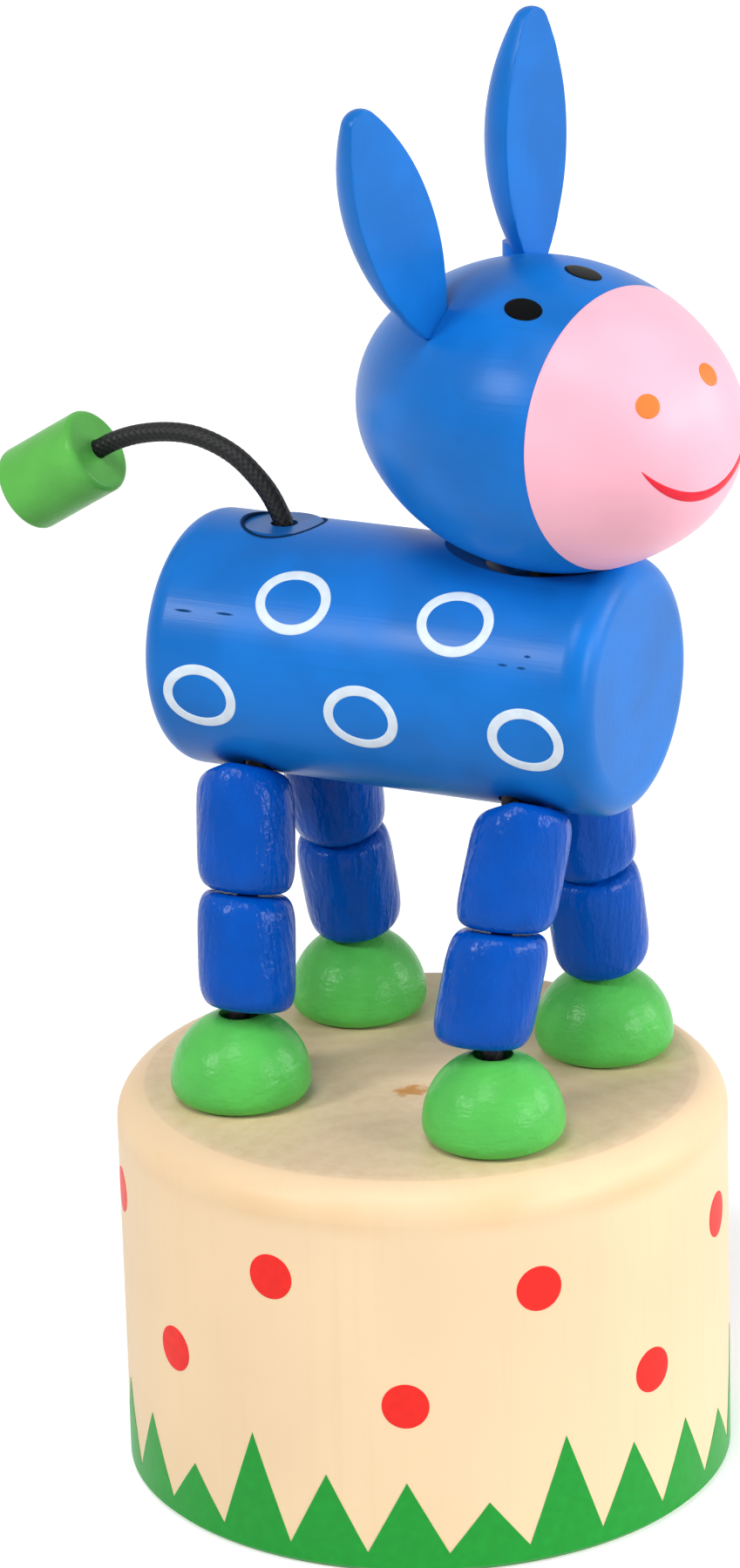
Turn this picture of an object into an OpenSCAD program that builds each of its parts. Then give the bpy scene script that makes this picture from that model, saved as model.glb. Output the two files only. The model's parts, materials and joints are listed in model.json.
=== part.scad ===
// Push puppet: a wooden donkey strung on four cords above a hollow drum.
// Pressing the button under the drum slackens the cords and the legs give way.
// The donkey faces +X, its left is +Y, and the drum stands on the plane Z = 0.

/* [Base drum] */
// Outside diameter of the drum
base_d = 50; // [46:1:60]
// Height of the drum
base_h = 33; // [30:1:42]
// Wall around the drum's hollow
base_wall = 5; // [3:0.5:6]
// Thickness of the top that carries the hooves
base_top = 8; // [5:0.5:9]
// Rounding of the top edge
base_round = 3; // [1:0.25:4]
// Chamfer at the foot
base_foot = 0.5; // [0.2:0.1:1]

/* [Push button] */
// Thickness of the button
button_t = 7; // [5:0.5:8]
// Height of the button's face above the table
button_recess = 5; // [4.5:0.25:6]
// Play of the button in the drum, on the radius
button_gap = 0.5; // [0.3:0.1:0.8]
// Rounding of the button's edges
button_round = 0.8; // [0.3:0.1:1.5]

/* [Return spring] */
// Outside diameter of the spring
spring_d = 14; // [10:0.5:18]
// Wire diameter
spring_wire = 1; // [0.6:0.1:1.2]
// Number of curls
spring_curls = 5; // [4:1:6]
// Depth of the pockets that centre the spring
spring_pocket = 1.5; // [1:0.25:2.5]
// Play of the spring in its pockets, on the radius
spring_play = 0.2; // [0.1:0.05:0.4]

/* [Stance] */
// Distance between front and rear hooves
stance_x = 22.7; // [20:0.1:25]
// Distance between left and right hooves
stance_y = 20.9; // [19:0.1:23]
// How far the figure stands forward of the drum's middle
figure_x = 0.3; // [-1:0.1:1]
// Inward lean of the legs, in degrees
splay = 13.6; // [8:0.2:15]

/* [Hooves] */
// Diameter of a hoof
hoof_d = 11.5; // [10:0.25:13]
// Height of the straight skirt under the dome
hoof_skirt = 1.65; // [0.8:0.05:3]
// Diameter of the countersink on top
hoof_sink = 3.6; // [3:0.1:4.4]

/* [Leg beads] */
// Diameter of a bead
bead_d = 8.1; // [7:0.1:9]
// Length of a bead
bead_l = 9.4; // [8:0.1:11]
// Rounding of a bead's rims
bead_round = 1.3; // [0.8:0.1:1.6]
// How far the middle of a bead swells past its rims
bead_belly = 0.15; // [0.05:0.05:0.3]
// Bore of a bead
bead_bore = 3.2; // [3:0.1:3.6]
// How far a loose bead stands off the line of its cord
bead_drift = 0.6; // [0:0.1:0.6]

/* [Body] */
// Diameter of the body log
body_d = 20.8; // [19:0.2:24]
// Length of the body log
body_l = 39.2; // [36:0.2:46]
// Rounding of the log's ends
body_round = 2.2; // [1:0.1:3]
// Depth of the dished seat under the head
seat_depth = 1.3; // [0.6:0.1:1.6]

/* [Head] */
// Length of the head
head_l = 33.6; // [30:0.2:38]
// Diameter of the head
head_d = 24.5; // [22:0.25:27]
// Radius at the nose and at the back of the head
head_end = 9.9; // [9:0.1:10.5]
// Angle that the head is turned to its right, in degrees
head_turn = 16; // [0:1:30]
// Angle that the head is tipped to its right, in degrees
head_roll = 13; // [0:1:15]
// How far the head's middle lies ahead of its bore
head_ahead = 1; // [0:0.1:2]
// Bore that takes the neck cords
head_bore = 6; // [5.6:0.1:7]
// Depth of that bore
head_bore_depth = 13; // [11:0.5:15]
// Diameter of the flare at the bore's mouth
head_flare = 8.6; // [8:0.1:10]
// Diameter of the peg that wedges the cords
peg_d = 2; // [1.6:0.1:2.1]
// Length of that peg
peg_l = 6; // [4:0.5:8]

/* [Ears] */
// Length of an ear
ear_l = 22; // [18:0.5:26]
// Width of an ear's flat face
ear_w = 7.3; // [6:0.1:8]
// Thickness of an ear
ear_t = 4; // [3.6:0.1:4.1]
// Radius at an ear's ends
ear_end = 1.6; // [1.5:0.1:1.9]
// Place of the ears behind the head's middle
ear_back = 4.25; // [2:0.25:6]
// Angle of the ears from the top of the head, in degrees
ear_angle = 29; // [25:1:38]
// Outward lean of the ears, in degrees
ear_splay = 14; // [5:1:18]
// Forward lean of the ears, in degrees
ear_fore = 0; // [0:1:10]
// Outward turn of the ears' faces, in degrees
ear_turn = 2; // [0:1:15]
// Length of ear let into the head
ear_sunk = 2.3; // [1.8:0.1:3]
// Diameter of the stem that holds an ear
tenon_d = 2.6; // [2.2:0.1:3]
// Length of that stem in the head
tenon_l = 4; // [3:0.25:5]

/* [Tail] */
// Diameter of the plug that holds the tail
plug_d = 6.4; // [5.6:0.1:7.2]
// Length of the plug
plug_l = 5; // [3.5:0.25:5.4]
// How far the plug lies under the top of the log
plug_sink = 0.3; // [0.1:0.1:0.6]
// Diameter of the tail cord
tail_cord_d = 1.6; // [1.2:0.1:2]
// Play of the tail cord in its plug, on the radius
tail_play = 0.3; // [0.25:0.05:0.5]
// Diameter of the tail bead
tail_bead_d = 7.2; // [6:0.1:8]
// Length of the tail bead
tail_bead_l = 8.1; // [8:0.1:10]
// Rounding of the tail bead's rims
tail_bead_round = 0.5; // [0.2:0.1:1]

/* [Leg cords] */
// Diameter of the leg cords
cord_d = 1.7; // [1.4:0.1:1.8]
// Play of a cord in its hole, on the radius
cord_play = 0.35; // [0.2:0.05:0.5]
// Distance between the two cords in the neck
cord_pair = 2.3; // [2:0.1:2.6]
// Play of that pair in the log's bore, on the radius
neck_play = 0.8; // [0.7:0.05:1]
// Diameter of a knot
knot_d = 3.6; // [3:0.1:4.4]
// Height of a knot
knot_h = 2.6; // [2.2:0.1:3.2]
// Rounding of a knot
knot_round = 1; // [0.6:0.1:1.1]

/* [Fits] */
// Gap at glued joints
glue_gap = 0.02; // [0.01:0.01:0.05]
// Gap where loose pieces rest on each other
touch_gap = 0.1; // [0.05:0.01:0.2]
// Gap between the head and its seat
seat_gap = 0.2; // [0.1:0.05:0.4]

/* [Hidden] */

// Segments of small rounds, and of arcs whose radius is several times the piece
$fn = 96;
arc_fn = 400;
eps = 0.01;
// How far a cut runs past the faces that it goes through
through = 1;

wood = "#f3d7ae";
blue = "#1a63c6";
green = "#57bf57";
black = "#1b1b1d";
steel = "#b9bcc0";

// Legs: name, front (1) or rear (-1), left (1) or right (-1), and the drift of the lower and upper bead
LEGS = [
    ["front_left", 1, 1, [0, 0]],
    ["front_right", 1, -1, [-1, 1]],
    ["rear_left", -1, 1, [0, 0]],
    ["rear_right", -1, -1, [0.6, -1]]
];
function leg_x(leg) = figure_x + leg[1] * stance_x / 2;

// Drum, button and spring, from the table up
cavity_r = base_d / 2 - base_wall;
cavity_h = base_h - base_top;
button_top = button_recess + button_t;
cord_hole = cord_d + 2 * cord_play;
spring_low = button_top - spring_pocket;
spring_high = cavity_h + spring_pocket;

// A leg's line starts clear of the hoof's dome and leans inward
dome_z = base_h + hoof_skirt;
ankle_z = dome_z + (hoof_d / 2 + touch_gap) / cos(splay);
leg_l = 2 * bead_l + touch_gap;
hip_y = stance_y / 2 - leg_l * sin(splay);
hip_z = ankle_z + leg_l * cos(splay);

// The log rests on the inner rims of the upper beads
rim_r = bead_d / 2 - bead_round;
rim_y = hip_y + bead_round * sin(splay) - rim_r * cos(splay);
rim_z = hip_z - bead_round * cos(splay) - rim_r * sin(splay);
rest_r = body_d / 2 + bead_round + touch_gap;
body_z = rim_z + sqrt(rest_r * rest_r - rim_y * rim_y);
body_top = body_z + body_d / 2;
neck_x = figure_x + stance_x / 2;
tail_x = figure_x - stance_x / 2;

// Leg cords end, and neck cords start, a little above the log's axis
anchor_rise = 4.5;
neck_bend = 1.2;
anchor_z = body_z + anchor_rise;
bore_floor = body_z - 1;

// The head's side is an arc, and its seat is a dish of a wider arc
head_side = side_arc(head_l / 2, head_d / 2, head_end);
seat_z = body_top - seat_depth;
seat_wider = 4;
seat_r = head_side + seat_wider;
head_z = seat_z + seat_gap + head_d / 2;
flare_depth = 3;
neck_bore = cord_pair + cord_d + 2 * neck_play;
neck_flare = 1.2;

// An ear is a slice of a spindle, a little more than half of it, and its stem lies behind the flat face
spindle_r = (ear_t * ear_t + ear_w * ear_w / 4) / (2 * ear_t);
face_x = ear_t - spindle_r;
stem_behind = 0.35;
stem_x = face_x - stem_behind - tenon_d / 2;
stem_bite = 0.5;

// Route of the tail from inside the plug to inside its bead, as offsets from the plug's top
tail_route = [
    [0, 0, -4.8], [0, 0, -2.5], [0, 0, -0.3], [-0.5, 0, 1], [-1.4, 0, 2.5], [-2.7, 0, 3.9],
    [-4.2, 0, 5.1], [-6.1, 0, 6], [-8.2, 0, 6.5], [-10.5, 0, 6.5], [-12.9, 0, 6.1], [-15, 0, 5.4],
    [-16.9, 0, 4.4], [-19.9, 0, 2.6], [-22.9, 0, 0.8]
];
tail_face = len(tail_route) - 3;

// Route of the pair of neck cords, as offsets from the seat's middle, and how far they spread there
neck_start = anchor_z + touch_gap - seat_z;
neck_route = [
    [0, 0, neck_start], [0, 0, -2.6], [0.3, 0.8, 0.2], [0.5, 1.7, 2.8], [0.4, 1.5, 5.8], [0.2, 0.7, 9.4]
];
neck_spread = [1, 1, 1, 1.05, 1.65, 1.65];

// Radius of the side arc of an oval with half length a, half width b and end radius r
function side_arc(a, b, r) = (b * b + (a - r) * (a - r) - r * r) / (2 * (b - r));
// Half width of that oval at a distance x from its middle, within the side arc
function oval_width(a, b, r, x) = let (s = side_arc(a, b, r)) b - s + sqrt(s * s - x * x);
function unit(v) = v / norm(v);

// Half of an oval made of four arcs, for turning about the Y axis
module oval_half(a, b, r) {
    s = side_arc(a, b, r);
    end_y = a - r;
    join_y = end_y + r * end_y / (s - r);
    intersection() {
        translate([0, -a]) square([b, 2 * a]);
        union() {
            for (side = [-1, 1]) translate([0, side * end_y]) circle(r);
            intersection() {
                translate([b - s, 0]) circle(s, $fn = arc_fn);
                translate([0, -join_y]) square([b, 2 * join_y]);
            }
        }
    }
}

// Half of a rectangle with rounded outer corners, for turning about the Y axis, standing on Y = 0
module rounded_half(r, h, low, high) {
    difference() {
        square([r, h]);
        translate([r - low, 0]) square([low, low]);
        translate([r - high, h - high]) square([high, high]);
    }
    intersection() {
        translate([r - low, low]) circle(low);
        translate([r - low, 0]) square([low, low]);
    }
    intersection() {
        translate([r - high, h - high]) circle(high);
        translate([r - high, h - high]) square([high, high]);
    }
}

// Triangles that join rings of points into a closed tube
function tube_faces(rings, sides) = concat(
    [for (i = [0 : rings - 2], j = [0 : sides - 1])
        [i * sides + j, i * sides + (j + 1) % sides, (i + 1) * sides + j]],
    [for (i = [0 : rings - 2], j = [0 : sides - 1])
        [i * sides + (j + 1) % sides, (i + 1) * sides + (j + 1) % sides, (i + 1) * sides + j]],
    [for (j = [1 : sides - 2]) [0, j + 1, j]],
    [for (j = [1 : sides - 2]) (rings - 1) * sides * [1, 1, 1] + [0, j, j + 1]]
);
// Direction of a route at its point i
function route_dir(p, i) = unit(p[min(i + 1, len(p) - 1)] - p[max(i - 1, 0)]);
// Ring of points around a route's point, square to its direction; flat is a direction off the route's plane
function ring(c, d, r, sides, flat) =
    let (u = unit(cross(flat, d)), v = cross(d, u))
    [for (j = [0 : sides - 1]) c + r * (cos(360 * j / sides) * u + sin(360 * j / sides) * v)];
module tube(p, d, sides, flat) {
    polyhedron(
        [for (i = [0 : len(p) - 1]) each ring(p[i], route_dir(p, i), d / 2, sides, flat)],
        tube_faces(len(p), sides), convexity = 10);
}

// Stands a shape on a leg's line, at a distance above the ankle
module on_leg(leg, above) {
    translate([leg_x(leg), leg[2] * stance_y / 2, ankle_z])
        rotate([leg[2] * splay, 0, 0])
            translate([0, 0, above]) children();
}

// Takes a shape from the head's own axes to its place
module on_head() {
    translate([neck_x, 0, head_z])
        rotate([0, 0, -head_turn]) rotate([head_roll, 0, 0])
            translate([head_ahead, 0, 0]) children();
}

// Takes a shape from an ear's own axes to the head's: side is 1 on the left and -1 on the right
module on_ear(side) {
    r = oval_width(head_l / 2, head_d / 2, head_end, ear_back);
    translate([-ear_back, side * r * sin(ear_angle), r * cos(ear_angle)])
        rotate([-side * ear_splay, ear_fore, 0]) rotate([0, 0, side * ear_turn]) children();
}

module cord_holes(d, low, h) {
    for (leg = LEGS) translate([leg_x(leg), leg[2] * stance_y / 2, low]) cylinder(d = d, h = h);
}

module base_drum() {
    color(wood) difference() {
        rotate_extrude() difference() {
            rounded_half(base_d / 2, base_h, eps, base_round);
            polygon([[base_d / 2 - base_foot, 0], [base_d / 2, base_foot], [base_d / 2 + through, -through]]);
            square([cavity_r, cavity_h]);
        }
        translate([0, 0, cavity_h - eps]) cylinder(d = spring_d + 2 * spring_play, h = spring_pocket + eps);
        cord_holes(cord_hole, cavity_h - through, base_top + 2 * through);
    }
}

module push_button() {
    color(wood) difference() {
        translate([0, 0, button_recess])
            rotate_extrude() rounded_half(cavity_r - button_gap, button_t, button_round, button_round);
        translate([0, 0, spring_low]) cylinder(d = spring_d + 2 * spring_play, h = spring_pocket + through);
        cord_holes(cord_hole, button_recess - through, button_t + 2 * through);
    }
}

// The spring's line climbs at a steady rate between its two pockets
spring_steps = 8 * spring_curls;
spring_line = [for (i = [0 : spring_steps])
    let (a = 360 * i / 8, rise = spring_high - spring_low - spring_wire - 2 * glue_gap)
    [(spring_d - spring_wire) / 2 * cos(a), (spring_d - spring_wire) / 2 * sin(a),
     spring_low + glue_gap + spring_wire / 2 + rise * i / spring_steps]];
spring_space = min([for (i = [0 : spring_steps], j = [i + 5 : 1 : spring_steps])
    norm(spring_line[i] - spring_line[j])]) - spring_wire;
echo(return_spring_least_gap_mm = spring_space);

module return_spring() {
    color(steel) tube(spring_line, spring_wire, 6, [0, 0, 1]);
}

module cord_knots() {
    color(black) for (leg = LEGS)
        translate([leg_x(leg), leg[2] * stance_y / 2, button_recess - glue_gap - knot_h])
            rotate_extrude() rounded_half(knot_d / 2, knot_h, knot_round, knot_round);
}

module hoof(leg) {
    color(green) translate([leg_x(leg), leg[2] * stance_y / 2, base_h + glue_gap]) difference() {
        union() {
            cylinder(d = hoof_d, h = hoof_skirt);
            intersection() {
                translate([0, 0, hoof_skirt]) sphere(d = hoof_d);
                cylinder(d = hoof_d + 1, h = hoof_d);
            }
        }
        translate([0, 0, -through]) cylinder(d = cord_hole, h = hoof_d + hoof_skirt);
        translate([0, 0, hoof_skirt + hoof_d / 2 - hoof_sink / 2])
            cylinder(d1 = 0, d2 = 2 * hoof_sink, h = hoof_sink);
    }
}

// Turned bead standing on Z = 0: a swelling side between two rounded rims, with a bore
module bead() {
    side = bead_d / 2;
    half = bead_l / 2 - bead_round;
    swell_r = (half * half + bead_belly * bead_belly) / (2 * bead_belly);
    difference() {
        rotate_extrude() intersection() {
            rounded_half(side, bead_l, bead_round, bead_round);
            translate([side - swell_r, bead_l / 2]) circle(swell_r, $fn = arc_fn);
        }
        translate([0, 0, -through]) cylinder(d = bead_bore, h = bead_l + 2 * through);
    }
}

module lower_bead(leg) {
    color(blue) on_leg(leg, 0) translate([bead_drift * leg[3][0], 0, 0]) bead();
}

module upper_bead(leg) {
    color(blue) on_leg(leg, bead_l + touch_gap) translate([bead_drift * leg[3][1], 0, 0]) bead();
}

// Straight up from the knot to the ankle, along the leg, and into the log
function leg_point(leg, above) =
    [leg_x(leg), leg[2] * (stance_y / 2 - above * sin(splay)), ankle_z + above * cos(splay)];
function leg_route(leg) =
    let (
        low = [leg_x(leg), leg[2] * stance_y / 2, button_recess + glue_gap],
        ankle = leg_point(leg, 0),
        reach = (body_z - ankle_z) / cos(splay),
        end_y = leg[2] * cord_pair / 2,
        into_plug = [leg_point(leg, reach + anchor_rise / cos(splay))],
        into_neck = [[leg_x(leg), end_y, anchor_z - neck_bend], [leg_x(leg), end_y, anchor_z]]
    )
    concat(
        [for (i = [0 : 8]) low + (ankle - low) * i / 8],
        [for (i = [1 : 7]) leg_point(leg, reach * i / 7)],
        leg[1] > 0 ? into_neck : into_plug);

module leg_cord(leg) {
    color(black) tube(leg_route(leg), cord_d, 8, [1, 0, 0]);
}

module body_log() {
    color(blue) difference() {
        translate([figure_x - body_l / 2, 0, body_z]) rotate([0, 90, 0])
            rotate_extrude() rounded_half(body_d / 2, body_l, body_round, body_round);
        translate([tail_x, 0, bore_floor]) cylinder(d = plug_d + 2 * glue_gap, h = body_d);
        translate([neck_x, 0, bore_floor]) cylinder(d = neck_bore, h = body_d);
        translate([neck_x, 0, seat_z - neck_flare])
            cylinder(d1 = neck_bore, d2 = neck_bore + 2 * (neck_flare + through), h = neck_flare + through);
        for (leg = LEGS) on_leg(leg, leg_l - bead_round)
            cylinder(d = cord_hole, h = bead_round + (anchor_z - hip_z) / cos(splay));
        translate([neck_x, 0, seat_z + seat_r]) sphere(seat_r, $fn = arc_fn);
    }
}

module tail_plug() {
    color(blue) translate([tail_x, 0, body_top - plug_sink - plug_l]) difference() {
        cylinder(d = plug_d, h = plug_l);
        translate([0, 0, -through]) cylinder(d = tail_cord_d + 2 * tail_play, h = plug_l + 2 * through);
    }
}

function tail_point(i) = [tail_x, 0, body_top - plug_sink] + tail_route[i];

module tail_cord() {
    color(black) tube([for (i = [0 : len(tail_route) - 1]) tail_point(i)], tail_cord_d, 8, [0, 1, 0]);
}

module tail_bead() {
    along = unit(tail_point(tail_face + 2) - tail_point(tail_face));
    depth = norm(tail_point(tail_face + 2) - tail_point(tail_face)) + glue_gap;
    color(green) translate(tail_point(tail_face)) rotate([0, atan2(along[0], along[2]), 0]) difference() {
        rotate_extrude() rounded_half(tail_bead_d / 2, tail_bead_l, tail_bead_round, tail_bead_round);
        translate([0, 0, -through]) cylinder(d = tail_cord_d + 2 * glue_gap, h = depth + through);
    }
}

module neck_cord() {
    color(black) for (side = [-1, 1])
        tube([for (i = [0 : len(neck_route) - 1])
            [neck_x, 0, seat_z] + neck_route[i] + side * neck_spread[i] * [0, cord_pair / 2, 0]],
            cord_d, 8, [1, 0, 0]);
}

// The head's turned form, grown by a gap all over
module head_form(grow) {
    rotate([0, 90, 0]) rotate_extrude()
        oval_half(head_l / 2 + grow, head_d / 2 + grow, head_end + grow);
}

module head() {
    floor_z = head_bore_depth - head_d / 2;
    color(blue) on_head() difference() {
        head_form(0);
        translate([-head_ahead, 0, -head_d]) cylinder(d = head_bore, h = head_d + floor_z);
        translate([-head_ahead, 0, -head_d / 2 - through])
            cylinder(d1 = head_flare + (head_flare - head_bore) * through / flare_depth, d2 = head_bore,
                h = flare_depth + through);
        for (side = [-1, 1]) on_ear(side)
            translate([stem_x, 0, -tenon_l - glue_gap])
                cylinder(d = tenon_d + 2 * glue_gap, h = tenon_l + ear_sunk);
    }
}

module head_peg() {
    color(wood) on_head()
        translate([-head_ahead, 0, head_bore_depth - head_d / 2 - peg_l - glue_gap])
            cylinder(d = peg_d, h = peg_l);
}

// Slice of a turned spindle with a flat face to the front, scribed to the head and held by a tenon
module ear(side) {
    color(blue) on_head() {
        difference() {
            on_ear(side) translate([0, 0, ear_l / 2 - ear_sunk]) intersection() {
                rotate_extrude() oval_half(ear_l / 2, spindle_r, ear_end);
                translate([face_x - ear_w, -ear_w, -ear_l]) cube([ear_w, 2 * ear_w, 2 * ear_l]);
            }
            head_form(glue_gap);
        }
        on_ear(side) translate([stem_x, 0, -tenon_l]) cylinder(d = tenon_d, h = tenon_l + stem_bite);
    }
}

base_drum();
push_button();
return_spring();
cord_knots();
for (leg = LEGS) {
    hoof(leg);
    lower_bead(leg);
    upper_bead(leg);
    leg_cord(leg);
}
body_log();
tail_plug();
tail_cord();
tail_bead();
neck_cord();
head();
head_peg();
ear(1);  // ear_left
ear(-1);  // ear_right
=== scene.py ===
"""Looks of a wooden push puppet: a blue donkey strung on cords above a hollow drum.

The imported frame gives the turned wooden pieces. This file lacquers them, rounds the hooves, beads and
ears, and adds what is printed on them and what strings them: cords, knots, spring and a braided tail.
"""
import json
import math

import bmesh
import bpy
import numpy as np
from mathutils import Matrix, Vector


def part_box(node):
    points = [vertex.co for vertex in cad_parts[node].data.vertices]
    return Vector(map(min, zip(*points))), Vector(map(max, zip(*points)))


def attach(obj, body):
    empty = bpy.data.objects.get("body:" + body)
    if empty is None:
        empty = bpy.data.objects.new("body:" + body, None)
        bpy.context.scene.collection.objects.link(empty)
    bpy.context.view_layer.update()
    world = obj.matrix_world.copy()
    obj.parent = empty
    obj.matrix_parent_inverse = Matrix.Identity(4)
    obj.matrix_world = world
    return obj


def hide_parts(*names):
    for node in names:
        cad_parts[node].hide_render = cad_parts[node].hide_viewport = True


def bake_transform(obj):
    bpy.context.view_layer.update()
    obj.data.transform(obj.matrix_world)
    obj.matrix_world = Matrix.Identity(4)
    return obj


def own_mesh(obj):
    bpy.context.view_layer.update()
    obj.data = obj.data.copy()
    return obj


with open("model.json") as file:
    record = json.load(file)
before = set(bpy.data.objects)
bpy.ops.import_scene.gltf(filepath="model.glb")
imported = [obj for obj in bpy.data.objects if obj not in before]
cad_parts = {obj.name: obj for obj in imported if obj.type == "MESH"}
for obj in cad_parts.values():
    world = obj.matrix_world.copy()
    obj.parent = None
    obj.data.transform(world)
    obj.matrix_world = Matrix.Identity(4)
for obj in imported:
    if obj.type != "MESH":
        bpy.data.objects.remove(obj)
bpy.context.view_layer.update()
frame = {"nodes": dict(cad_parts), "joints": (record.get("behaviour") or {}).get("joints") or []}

bl_info = {
    "name": "Push Puppet Donkey",
    "version": (1, 0, 0),
    "blender": (4, 5, 0),
    "location": "3D View > Sidebar > Puppet",
    "description": "Paints and strings a wooden push puppet",
    "category": "Object",
}

MM = 0.001
TURN = 2 * math.pi
LEGS = ("front_left", "front_right", "rear_left", "rear_right")
SIDES = {"left": 1, "right": -1}
JOINTS = {joint["name"]: joint for joint in frame["joints"]}
# Metres within which points and edges fall together
MERGE, SLIVER = 1e-7, 1e-8
# Strands in a cord's braid, and millimetres between the middles of the two cords that go up into the head
STRANDS, NECK_PAIR = 16, 2.3
# Millimetres of the blue wood's grain along a piece and across it
GRAIN, ACROSS = 14, 0.45


def corners(node):
    """Lowest and highest corner of a node, as arrays."""
    low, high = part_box(node)
    return np.array(low), np.array(high)


def middle(node):
    """Middle of a node's box."""
    return sum(corners(node)) / 2


def metres(*mm):
    """Metres from millimetres."""
    return tuple(size * MM for size in mm)


# Places that follow from the frame
DRUM_LOW, DRUM_HIGH = corners("base_drum")
DRUM_R = (DRUM_HIGH[0] - DRUM_LOW[0]) / 2
DRUM_TOP = DRUM_HIGH[2]
LOG_LOW, LOG_HIGH = corners("body_log")
LOG_Z = (LOG_LOW + LOG_HIGH)[2] / 2
LOG_R = (LOG_HIGH - LOG_LOW)[2] / 2
PLUG_TOP = np.array([*middle("tail_plug")[:2], corners("tail_plug")[1][2]])
NECK = np.array(JOINTS["head_turn"]["pos_m"])
HEAD_TURN = -math.atan2(JOINTS["head_nod"]["axis"][0], JOINTS["head_nod"]["axis"][1])


def linear(code):
    """An sRGB hex colour as linear red, green and blue."""
    c = np.array([int(code[i:i + 2], 16) for i in (1, 3, 5)]) / 255
    return tuple(np.where(c <= 0.04045, c / 12.92, ((c + 0.055) / 1.055) ** 2.4))


def length(name, about, default):
    """A size in metres, from millimetres."""
    return bpy.props.FloatProperty(name=name, description=about, default=default * MM, unit="LENGTH",
                                   precision=5)


def angle(name, about, default):
    """An angle in radians, from degrees."""
    return bpy.props.FloatProperty(name=name, description=about, default=math.radians(default),
                                   subtype="ANGLE")


def colour(name, about, code):
    """A colour as linear values, from sRGB hex."""
    return bpy.props.FloatVectorProperty(name=name, description=about, default=linear(code), size=3,
                                         subtype="COLOR", min=0, max=1)


class PuppetSizes(bpy.types.PropertyGroup):
    """Sizes of what is painted on the turned pieces and of what strings them"""
    head_length: length("Head length", "Length of the head along its axis", 33.6)
    head_width: length("Head width", "Diameter of the head at its middle", 24.5)
    head_end: length("Head end radius", "Radius at the nose and at the back of the head", 9.9)
    head_roll: angle("Head roll", "How far the head is tipped to its right", 13)
    head_ahead: length("Head ahead", "How far the head's middle lies ahead of its bore", 1)
    muzzle: length("Muzzle", "Where the pink of the muzzle starts, ahead of the head's middle", 7.2)
    eye_length: length("Eye length", "Length of an eye along the head", 3.35)
    eye_width: length("Eye width", "Width of an eye", 2.12)
    nostril: length("Nostril", "Diameter of a nostril", 1.9)
    mouth_radius: length("Mouth radius", "Radius of the smile, seen from the front", 6.7)
    mouth_stroke: length("Mouth stroke", "Width of the smile at its middle", 0.8)
    ear_length: length("Ear length", "Length of an ear, without its stem", 20.46)
    ear_width: length("Ear width", "Width of an ear's flat face", 7.3)
    ear_thickness: length("Ear thickness", "Thickness of an ear", 4.2)
    ear_end: length("Ear end radius", "Radius at the ends of an ear", 1.5)
    ring: length("Ring", "Outside length of a ring on the body", 6.5)
    ring_width: length("Ring width", "Outside width of a ring, round the body", 5.5)
    ring_stroke: length("Ring stroke", "Width of a ring's line", 0.84)
    dot: length("Dot", "Diameter of a dot on the drum", 3.8)
    print_height: length("Print height", "How far a printed mark stands proud of the wood", 0.04)
    bead_length: length("Bead length", "Length of a leg bead along its cord", 9.4)
    leg_cord: length("Leg cord", "Diameter of the cords in the legs and the neck", 1.7)
    tail_cord: length("Tail cord", "Diameter of the braided tail", 1.6)
    knot: length("Knot", "Diameter of a knot under the button", 3.6)
    spring: length("Spring", "Outside diameter of the return spring", 14)
    wire: length("Wire", "Diameter of the spring's wire", 1)


class PuppetColours(bpy.types.PropertyGroup):
    """Colours of the lacquers, prints, woods and cords"""
    blue: colour("Body blue", "Lacquer of the body, the head and the ears", "#0F70C8")
    bead_blue: colour("Bead blue", "Gloss lacquer of the leg beads", "#0050B4")
    green: colour("Hoof green", "Gloss lacquer of the hooves", "#58BF56")
    tail_green: colour("Tail green", "Lacquer of the tail bead", "#62BA52")
    wood: colour("Wood", "Clear lacquered wood of the drum", "#F7DAB2")
    pink: colour("Muzzle pink", "Lacquer of the muzzle", "#FDB9CB")
    white: colour("Ring white", "Print of the rings", "#DCE9F6")
    orange: colour("Nostril orange", "Print of the nostrils", "#F98440")
    mouth: colour("Mouth red", "Print of the smile", "#EE2C40")
    eye: colour("Eye black", "Print of the eyes", "#07080A")
    dot: colour("Dot red", "Print of the dots", "#F8302A")
    grass: colour("Grass green", "Print of the grass", "#249E3A")
    cord: colour("Cord black", "Nylon of the cords", "#0E0F11")
    steel: colour("Steel", "Wire of the spring", "#B9BCC1")


class PuppetStage(bpy.types.PropertyGroup):
    """Place and lens of the camera"""
    azimuth: angle("Azimuth", "Turn of the camera from the puppet's right side", 27.5)
    elevation: angle("Elevation", "Height of the camera as an angle", 18.9)
    roll: angle("Roll", "Turn of the camera about its own axis", -1.61)
    distance: length("Distance", "From the camera to the point that it aims at", 438.33)
    aim_right: length("Aim to the right", "How far the aim lies to the right of the drum's axis", -3.54)
    aim_up: length("Aim up", "Height of the point that the camera aims at", 57.93)
    lens: bpy.props.FloatProperty(name="Lens", description="Focal length in millimetres", default=125.29,
                                  unit="CAMERA")


# Surfaces

def round_turn(count):
    """Angles spread evenly over one turn, without its end, which falls on its start."""
    return np.linspace(0, TURN, count, endpoint=False)


def unit(vectors):
    """Vectors brought to a length of 1."""
    return vectors / np.linalg.norm(vectors, axis=-1, keepdims=True)


def turn_about(axis, a):
    """Matrix that turns points about the x, y or z axis by the right hand."""
    c, s = math.cos(a), math.sin(a)
    return np.array({"x": [[1, 0, 0], [0, c, -s], [0, s, c]],
                     "y": [[c, 0, s], [0, 1, 0], [-s, 0, c]],
                     "z": [[c, -s, 0], [s, c, 0], [0, 0, 1]]}[axis])


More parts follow.
